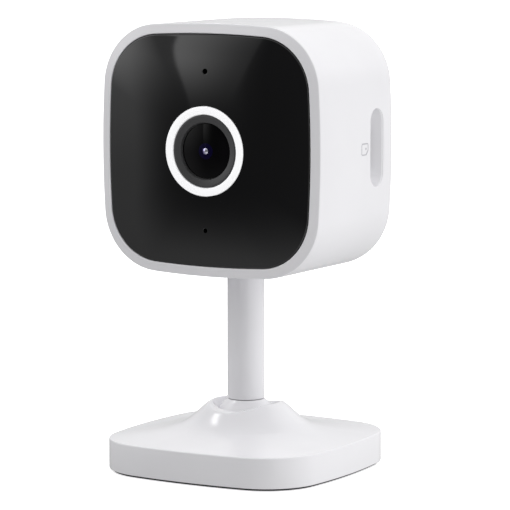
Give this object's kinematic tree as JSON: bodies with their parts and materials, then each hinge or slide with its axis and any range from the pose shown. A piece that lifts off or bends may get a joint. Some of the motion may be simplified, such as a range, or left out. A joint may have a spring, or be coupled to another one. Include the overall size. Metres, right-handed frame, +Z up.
{
  "type": "security camera",
  "caption": "Indoor security camera with a rounded-square head, domed dark window and ringed lens, on a round stem and a ball joint in a square base.",
  "frame": {"origin": "middle of the underside of the base, on the surface that the camera stands on", "axes": "+Z up along the stem, -Y towards the front of the lens, +X towards the side with the card recess"},
  "size_m": [0.06, 0.0578, 0.108],
  "materials": {
    "white_plastic": "fine satin moulded plastic",
    "black_window": "polished black",
    "ring_white": "smooth satin",
    "dark_plastic": "matt moulded plastic",
    "lens_glass": "coated glass",
    "filter_glass": "coated filter glass",
    "circuit_board": "solder mask over fibreglass",
    "chip_black": "matt epoxy",
    "steel": "plated steel",
    "aluminium": "milled aluminium",
    "rubber": "matt rubber",
    "grey_plastic": "matt moulded plastic"
  },
  "bodies": {
    "base": {"base_shell": "white_plastic", "friction_cup": "dark_plastic", "cup_spring": "steel", "weight_plate": "steel", "base_cover": "dark_plastic", "rubber_pad": "rubber", "base_screw_1": "steel", "base_screw_2": "steel", "base_screw_3": "steel", "base_screw_4": "steel"},
    "ball": {"ball_foot": "white_plastic"},
    "head": {"head_shell": "white_plastic", "rear_cover": "white_plastic", "stem": "white_plastic", "front_window": "black_window", "light_ring": "ring_white", "lens_bezel": "dark_plastic", "lens_barrel": "dark_plastic", "lens_holder": "dark_plastic", "speaker": "dark_plastic", "lens_front_glass": "lens_glass", "lens_rear_element": "lens_glass", "ir_led_1": "lens_glass", "ir_led_2": "lens_glass", "ir_led_3": "lens_glass", "ir_led_4": "lens_glass", "light_sensor": "lens_glass", "ir_cut_filter": "filter_glass", "sensor_board": "circuit_board", "ir_board": "circuit_board", "main_board": "circuit_board", "antenna": "circuit_board", "image_sensor": "chip_black", "processor": "chip_black", "memory_chip": "chip_black", "button_switch": "chip_black", "lens_screw_1": "steel", "lens_screw_2": "steel", "board_screw_1": "steel", "board_screw_2": "steel", "board_screw_3": "steel", "board_screw_4": "steel", "wifi_module": "steel", "card_socket": "steel", "power_port": "steel", "microphone": "steel", "swivel_screw": "steel", "stem_nut": "steel", "heat_spreader": "aluminium", "mic_boot": "rubber", "speaker_gasket": "rubber", "inner_frame": "grey_plastic", "thermal_pad": "grey_plastic", "stem_clamp": "grey_plastic"},
    "card": {"memory_card": "chip_black"},
    "button": {"setup_button": "grey_plastic"}
  },
  "joints": [
    {"name": "ball_tilt", "type": "hinge", "parent": "base", "child": "ball", "pos_m": [0, 0, 0.01063], "axis": [1, 0, 0], "range_deg": [-28, 28]},
    {"name": "stem_swivel", "type": "hinge", "parent": "ball", "child": "head", "pos_m": [0, 0, 0.01063], "axis": [0, 0, 1], "continuous": true},
    {"name": "card_slide", "type": "slide", "parent": "head", "child": "card", "axis": [1, 0, 0], "range_m": [0, 0.013]},
    {"name": "setup_button_press", "type": "slide", "parent": "head", "child": "button", "axis": [0, -1, 0], "range_m": [0, 0.0005], "stiffness_N_per_m": 300}
  ]
}
